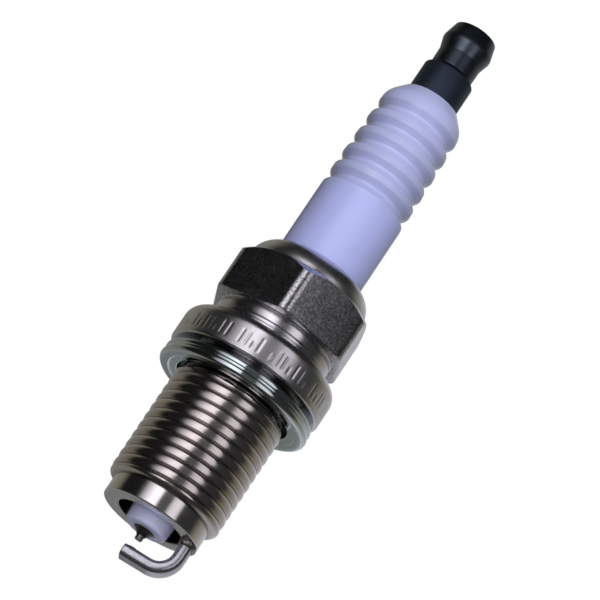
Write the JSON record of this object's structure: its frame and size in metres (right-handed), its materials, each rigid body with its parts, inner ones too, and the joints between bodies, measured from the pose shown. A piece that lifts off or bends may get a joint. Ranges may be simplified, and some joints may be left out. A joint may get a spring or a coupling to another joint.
{
  "type": "spark plug",
  "caption": "Resistor spark plug with threaded shell, hexagon, ribbed white insulator, dark screw-on terminal, captive gasket and fine-wire electrode.",
  "frame": {"origin": "on the plug's axis, in the shell's seat face", "axes": "+Z along the axis towards the terminal, +X towards the foot of the ground strap"},
  "size_m": [0.019, 0.019, 0.074],
  "materials": {
    "nickel_plate": "bright nickel plating over rolled and milled steel",
    "zinc_plate": "bluish zinc plating on folded sheet",
    "glazed_alumina": "glossy white glaze",
    "packing_steel": "plain steel",
    "talc": "pressed powder",
    "dark_terminal": "dark satin finish",
    "seal_glass": "conductive glass, opaque",
    "resistor_mass": "carbon and glass mass",
    "electrode_nickel": "dull nickel alloy",
    "copper": "copper",
    "fine_wire": "drawn precious metal",
    "weld_metal": "fused metal",
    "strap_nickel": "drawn nickel alloy",
    "fine_pad": "precious metal",
    "strap_weld": "weld bead"
  },
  "bodies": {
    "plug": {"shell": "nickel_plate", "insulator": "glazed_alumina", "seat_washer": "packing_steel", "lower_packing_ring": "packing_steel", "talc_fill": "talc", "upper_packing_ring": "packing_steel", "terminal_stud": "dark_terminal", "upper_glass_seal": "seal_glass", "resistor": "resistor_mass", "lower_glass_seal": "seal_glass", "centre_electrode": "electrode_nickel", "copper_core": "copper", "centre_tip": "fine_wire", "tip_weld": "weld_metal", "ground_electrode": "strap_nickel", "ground_pad": "fine_pad", "ground_weld": "strap_weld"},
    "nut": {"terminal_nut": "dark_terminal"},
    "loose_gasket": {"gasket": "zinc_plate"}
  },
  "joints": [
    {"name": "nut_unscrew", "type": "slide", "parent": "plug", "child": "nut", "axis": [0, 0, 1], "range_m": [0, 0.0055]},
    {"name": "gasket_play", "type": "slide", "parent": "plug", "child": "loose_gasket", "axis": [0, 0, 1], "range_m": [-0.0016, 0.0006]}
  ]
}
